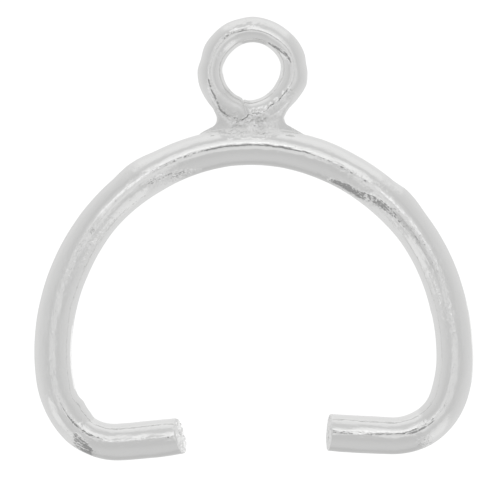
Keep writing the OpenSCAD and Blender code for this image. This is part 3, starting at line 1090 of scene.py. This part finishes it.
# Spots per mm along the wire and across it, levels of detail and how strong the finer ones are
WIRE_NOISES = {
    "lines": (0.8, 16, 3, 0.6),  # drawing lines
    "ripple": (1.6, 2.6, 1, 0.5),  # nowhere quite round
    "ridges": (0.7, 5, 1, 0.5),  # long ridges on the ring
    "chatter": (5, 8, 2, 0.5),  # small dents
    "specks": (7, 12, 3, 0.6),  # where nicks fall
    "rubbed": (10, 11, 2, 0.6),  # rubbed metal
    "bites": (12, 14, 2, 0.6),  # torn metal
}
GRAIN_NOISE = (8.0 / MM, 3, 0.65)  # spots per metre, detail and strength, all over the solder
noise = {name: metal.wire_noise(*terms) for name, terms in WIRE_NOISES.items()}
grain = metal.noise(metal.add("TexCoord").outputs["Object"], *GRAIN_NOISE)
mark = {name: metal.value(name) for name in marks_kept}
print("silver has %d noises along the wire" % len(noise))

# %% [markdown]
# ## Relief
#
# These dents are a few hundredths of a millimetre deep, and most far less. A mesh would have to
# be much finer to hold them, while bump only tilts the surface that the light meets, which is
# all that shows. Each kind of noise counts for as much as its mark says. Calm places flatten all
# of them, and on the solder the grain takes their place.

# %% Relief
RELIEF_UNIT = 0.008 * MM
# Height everywhere in that unit, the mark that changes it, and the change where the mark is full
RELIEF = {
    "lines": (0.34, "ring", 0.0),
    "ripple": (2.8, "ring", -1.8),
    "chatter": (1.0, "worn_and_glints", 5.0),
    "ridges": (0.0, "ring", 2.0),
    "rubbed": (0.0, "worn_and_glints", 2.0),
    "bites": (0.0, "scar_and_painted_reflection", 7.0),
}
NICK_LEVEL, NICK_WORN, NICK_EDGE, NICK_DEPTH = 0.66, -0.08, 0.06, 1.0
SOLDER_RELIEF, CRUST_RELIEF = 3.0, 8.0
above = metal.minus(noise["specks"], metal.line(mark["worn_and_glints"], NICK_WORN, NICK_LEVEL))
relief = metal.times(metal.rise(above, 0.0, NICK_EDGE), -NICK_DEPTH)
for name, (everywhere, changed_by, change) in RELIEF.items():
    height = metal.line(mark[changed_by], change, everywhere)
    relief = metal.plus(relief, metal.times(noise[name], height))
relief = metal.times(relief, metal.minus(1.0, mark["calm"]))
solder_relief = metal.times(grain, metal.line(mark["crust"], CRUST_RELIEF, SOLDER_RELIEF))
relief = metal.blend(mark["solder"], relief, solder_relief)
bumps = {"Height": relief, "Distance": RELIEF_UNIT, "Strength": 1.0}
surface = metal.add("Bump", bumps).outputs[0]
print("relief: %d kinds beside nicks and grain" % len(RELIEF))

# %% [markdown]
# ## Polish
#
# The wire was polished bright, and its mirror is only a little blurred, more in some drawing
# lines than in others. Rubbing, satin and the torch each blur it further. Relief fine enough to
# do this would be smaller than a pixel and come out as specks, so it is roughness.

# %% Roughness
POLISHED = (0.3, 0.75, 0.05, 0.09)  # from the lines' low and high to the least and the most
ROUGHER = {"worn_and_glints": 0.04, "dull": 0.2, "satin": 0.16}
SOLDER_ROUGH = 0.06
rough = metal.rise(noise["lines"], *POLISHED)
for name, added in ROUGHER.items():
    rough = metal.plus(rough, metal.times(mark[name], added))
rough = metal.blend(mark["solder"], rough, SOLDER_ROUGH)
print("polished wire: roughness %.2f to %.2f" % POLISHED[2:])

# %% [markdown]
# ## Tarnish, painted shade and painted glints
#
# The base colour turns darker on the solder's own greyer tone, on the torch's dull place and in
# bites, which are partly real torn metal and partly painted dark reflection. It is darker as
# painted shade in the crust's pits and between its grains, and along the painted dark band. It
# turns whiter where glints are painted: on the painted highlight streaks, rubbed flecks and the
# tops of grains. Darker metal mirrors less, so all of this is base colour. The darkest of these
# that lies on a place wins, because two thin films of tarnish don't add up to a thick one.

# %% Tarnish, painted shade and painted glints
# painted glints turn the silver white, and tarnish and painted shade turn it grey
SILVER, GLINT_WHITE = (0.88, 0.88, 0.875, 1), (1, 1, 1, 1)
TARNISH_AND_SHADE_GREY, GRAZING = (0.18, 0.18, 0.18, 1), (0.9, 0.9, 0.9, 1)
# the solder's own greyer tone, and painted shade in the crevices between the crust's grains
SOLDER_TARNISH, CREVICE_SHADE = 0.05, 0.16
TARNISH_AND_SHADE = {"pit_shade": 0.10, "dull": 0.1, "painted_dark_band": 0.2}  # share of darkening where the mark is full: painted shade in pits and on the dark band, tarnish on the dull place
CREVICE = (0.47, 0.40)  # crevices are where the grain is low
BITE_MIX, BITE_PUSH = 0.5, 0.22  # bites, partly real torn metal and partly painted dark reflection, show where lines and torn metal, pushed by depth, are high
BITE_AND_REFLECTION_RISE, BITE_START = (0.62, 0.69, 0.0, 0.64), (0.05, 0.2)  # climbs from, to, least, most
GLINT_FLECKS, HIGHLIGHT_SHOWS = (0.56, 0.64), (0.38, 0.52)
# painted shade in the crevices between the crust's grains
crevice_shade = metal.times(metal.rise(grain, *CREVICE), mark["crust"])
torn = metal.line(noise["lines"], BITE_MIX, metal.times(noise["bites"], BITE_MIX))
# painted dark: bites and the painted reflection of the lens in the base colour
bites_and_painted_dark = metal.rise(metal.line(mark["scar_and_painted_reflection"], BITE_PUSH, torn), *BITE_AND_REFLECTION_RISE)
# darkest of the solder's tone, the dull place's tarnish, and painted shade and dark reflections
tarnish_and_painted_shade = metal.largest(
    metal.times(metal.minus(mark["solder"], mark["grain_top_glint"]), SOLDER_TARNISH),
    metal.times(crevice_shade, CREVICE_SHADE),
    metal.times(bites_and_painted_dark, metal.rise(mark["scar_and_painted_reflection"], *BITE_START)),
    *(metal.times(mark[name], share) for name, share in TARNISH_AND_SHADE.items()),
)
# painted glints: white on grain tops, rubbed flecks and painted highlight streaks
painted_glints = metal.largest(
    mark["grain_top_glint"],
    # painted glints as white flecks on rubbed places and the cut tips
    metal.times(metal.rise(noise["rubbed"], *GLINT_FLECKS), mark["worn_and_glints"]),
    metal.times(mark["painted_highlight"], metal.rise(noise["bites"], *HIGHLIGHT_SHOWS)),
)
colour = metal.tint(tarnish_and_painted_shade, metal.tint(painted_glints, SILVER, GLINT_WHITE), TARNISH_AND_SHADE_GREY)
shader = metal.add(
    "BsdfPrincipled",
    {
        "Base Color": colour,
        "Metallic": 1.0,
        "Roughness": rough,
        "Specular Tint": GRAZING,
        "Normal": surface,
    },
)
metal.add("OutputMaterial", {"Surface": shader.outputs[0]})
print("silver: %d nodes" % len(silver.node_tree.nodes))

# %% [markdown]
# ## The finished bail
#
# The skin takes the place of the plain CAD solid. It lies at the origin, unturned, so that its
# mesh says where it is. It moves with the part's root and wears the silver material made above.

# %% Put the bail in place
skin.materials.clear()
skin.materials.append(silver)
bail = as_object("soldered_bail", skin)
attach(bail, "root")
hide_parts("bail")
print("silver is on", bail.name)

# %% [markdown]
# ## Floor, light and camera
#
# The photograph was taken straight from above in a light tent, on a ground so bright that it
# comes out white. A mirror-like wire shows nothing but its surroundings, so the tent has to be
# right. Lamps and white cards could be set up, but each point of the wire mirrors one direction
# only, and it is simpler to paint the light on the sky direction by direction.
#
# A shiny ball in the wire's place would show all directions at once: the middle of the ball
# mirrors the lid of the tent, its rim the ground. So the sky is painted as it would look on such
# a ball. The place on it lies half way between a direction and straight up. The back wall is
# bright, with a lit panel over it, and stands a little turned. The front is open and duller, two
# corners glow, and right above, the lens makes a small dark gap between two lit patches.

# %% Walls of the light tent
world = bpy.data.worlds.new("light tent")
bpy.context.scene.world = world
world.use_nodes = True
tent = Nodes(world.node_tree)
direction = tent.add("TexCoord").outputs["Generated"]
half_way = tent.add("VectorMath", {0: direction, 1: (0, 0, 1)}, operation="ADD").outputs[0]
half_way = tent.add("VectorMath", {0: half_way}, operation="NORMALIZE").outputs[0]
axes = tent.add("SeparateXYZ", {0: half_way})
ball_x, ball_y = axes.outputs[0], axes.outputs[1]
reach = tent.math("SQRT", tent.plus(tent.times(ball_x, ball_x), tent.times(ball_y, ball_y)))
# Light by distance from the ball's middle, at the two sides, the back and the front
SIDE_WALLS = [
    (0, 0.66), (0.1, 0.715), (0.2, 0.64), (0.3, 0.60), (0.45, 0.635), (0.8, 0.72), (1, 0.80),
]
BACK_WALL = [
    (0, 0.66), (0.09, 0.68), (0.15, 0.9), (0.2, 0.91), (0.3, 0.80), (0.4, 0.64), (0.45, 0.65),
    (0.58, 0.79), (0.75, 0.83), (0.88, 0.80), (1, 0.9),
]
FRONT = [
    (0, 0.67), (0.08, 0.68), (0.13, 0.60), (0.22, 0.575), (0.45, 0.61), (0.72, 0.61),
    (0.86, 0.55), (1, 0.75),
]
BACK_TURNED = 2.5  # degrees
BACK_EDGE, FRONT_EDGE = (41, 34), (150, 158)  # degrees from the back wall's middle
from_back = tent.math("DEGREES", tent.math("ARCTAN2", ball_x, ball_y))
from_back = tent.math("ABSOLUTE", tent.minus(from_back, BACK_TURNED))
light = tent.curve(reach, SIDE_WALLS)
for edge, knots in ((BACK_EDGE, BACK_WALL), (FRONT_EDGE, FRONT)):
    light = tent.blend(tent.rise(from_back, *edge), light, tent.curve(reach, knots))
print("light tent: back wall within %d degrees of the middle" % BACK_EDGE[0])

# %% Glowing and dark places of the light tent
# Middle on the ball, half length, half width, degrees turned, added light, and the share of the
# spot that is full
SPOTS = [
    (-0.47, -0.28, 0.20, 0.14, 30, 0.15, 0.1),  # left front corner
    (-0.50, -0.52, 0.22, 0.12, 45, 0.03, 0.1),  # and below it
    (0.38, -0.42, 0.30, 0.15, -53, 0.13, 0.1),  # right front corner
    (0.0, -0.05, 0.12, 0.07, 0, 0.05, 0.3),  # lid before the lens
    (-0.385, -0.67, 0.25, 0.14, 62, -0.06, 0.1),  # shade at the foot of the left front
    (0.065, 0.075, 0.06, 0.03, 35, 0.17, 0.1),  # lit patch right of the lens
    (-0.06, 0.06, 0.06, 0.03, -40, 0.16, 0.1),  # and left of it
    (0.003, 0.064, 0.048, 0.036, 0, -0.40, 0.6),  # the lens
    (0.0, 0.165, 0.09, 0.012, 0, 0.30, 0.3),  # edge of the panel over the back wall
    (0.98, 0.0, 0.3, 0.08, 90, 0.30, 0.1),  # ground at the right
]
WALLS_DRAWN_FOR = 0.93  # the light above was drawn for metal that mirrors this much of it


def glow(x, y, long, wide, turned, full):
    """Soft spot on the ball: 1 up to the given share of an ellipse's squared reach, then a
    smooth fall to 0 at its rim."""
    cos, sin = float(np.cos(np.radians(turned))), float(np.sin(np.radians(turned)))
    dx, dy = tent.minus(ball_x, x), tent.minus(ball_y, y)
    along = tent.plus(tent.times(dx, cos / long), tent.times(dy, sin / long))
    across = tent.plus(tent.times(dx, -sin / wide), tent.times(dy, cos / wide))
    far = tent.plus(tent.times(along, along), tent.times(across, across))
    return tent.rise(far, 1.0, full)


for x, y, long, wide, turned, added, full in SPOTS:
    light = tent.plus(light, tent.times(glow(x, y, long, wide, turned, full), added))
strength = tent.times(light, WALLS_DRAWN_FOR / SILVER[0])
sky = tent.add("Background", {"Color": (1, 1, 1, 1), "Strength": strength})
tent.add("OutputWorld", {"Surface": sky.outputs[0]})
print("light tent: %d nodes" % len(world.node_tree.nodes))

# %% [markdown]
# ## The ground
#
# The real ground is lit until it comes out pure white. A white sheet under this sky would stay
# grey in places, so it also glows a little by itself. It takes no part in reflections, where the
# light tent already holds the ground's brightness.

# %% Floor
FLOOR_HALF = 1.5  # in metres, so wide that its edges stay out of sight from above
PAPER = {
    "Base Color": (0.25, 0.25, 0.25, 1),
    "Roughness": 0.9,
    "Emission Color": (1, 1, 1, 1),
    "Emission Strength": 0.9,
}
corners = FLOOR_HALF * np.array([[-1, -1, 0], [1, -1, 0], [1, 1, 0], [-1, 1, 0]])
floor_mesh = bpy.data.meshes.new("floor")
floor_mesh.from_pydata(corners.tolist(), [], [(0, 1, 2, 3)])
paper = bpy.data.materials.new("white ground")
paper.use_nodes = True
sheet = Nodes(paper.node_tree)
sheet.add("OutputMaterial", {"Surface": sheet.add("BsdfPrincipled", PAPER).outputs[0]})
floor_mesh.materials.append(paper)
floor = as_object("floor", floor_mesh)
floor.visible_glossy = False
print("floor: %.0f m wide" % (2 * FLOOR_HALF))

# %% [markdown]
# ## The camera
#
# The photograph looks straight down and shows 16 mm across. It hardly shows any perspective, so
# the camera stands far off with a long lens, which makes its width at the wire's middle the
# photograph's: focal length over sensor width is distance over the width seen.

# %% Camera
PHOTO_MIDDLE = (-0.112, -0.392)  # all in mm
PHOTO_WIDE = 16.0
DISTANCE = 120.0
SENSOR = 36.0
lens = bpy.data.cameras.new("camera")
lens.sensor_width = SENSOR
lens.lens = SENSOR * DISTANCE / PHOTO_WIDE
lens.clip_start = MM
camera = bpy.data.objects.new("camera", lens)
camera.location = (PHOTO_MIDDLE[0] * MM, PHOTO_MIDDLE[1] * MM, (MID_Z + DISTANCE) * MM)
bpy.context.scene.collection.objects.link(camera)
bpy.context.scene.camera = camera
bpy.context.scene.view_settings.view_transform = "Standard"
print("camera %.0f mm up, lens %.0f mm" % (DISTANCE, lens.lens))
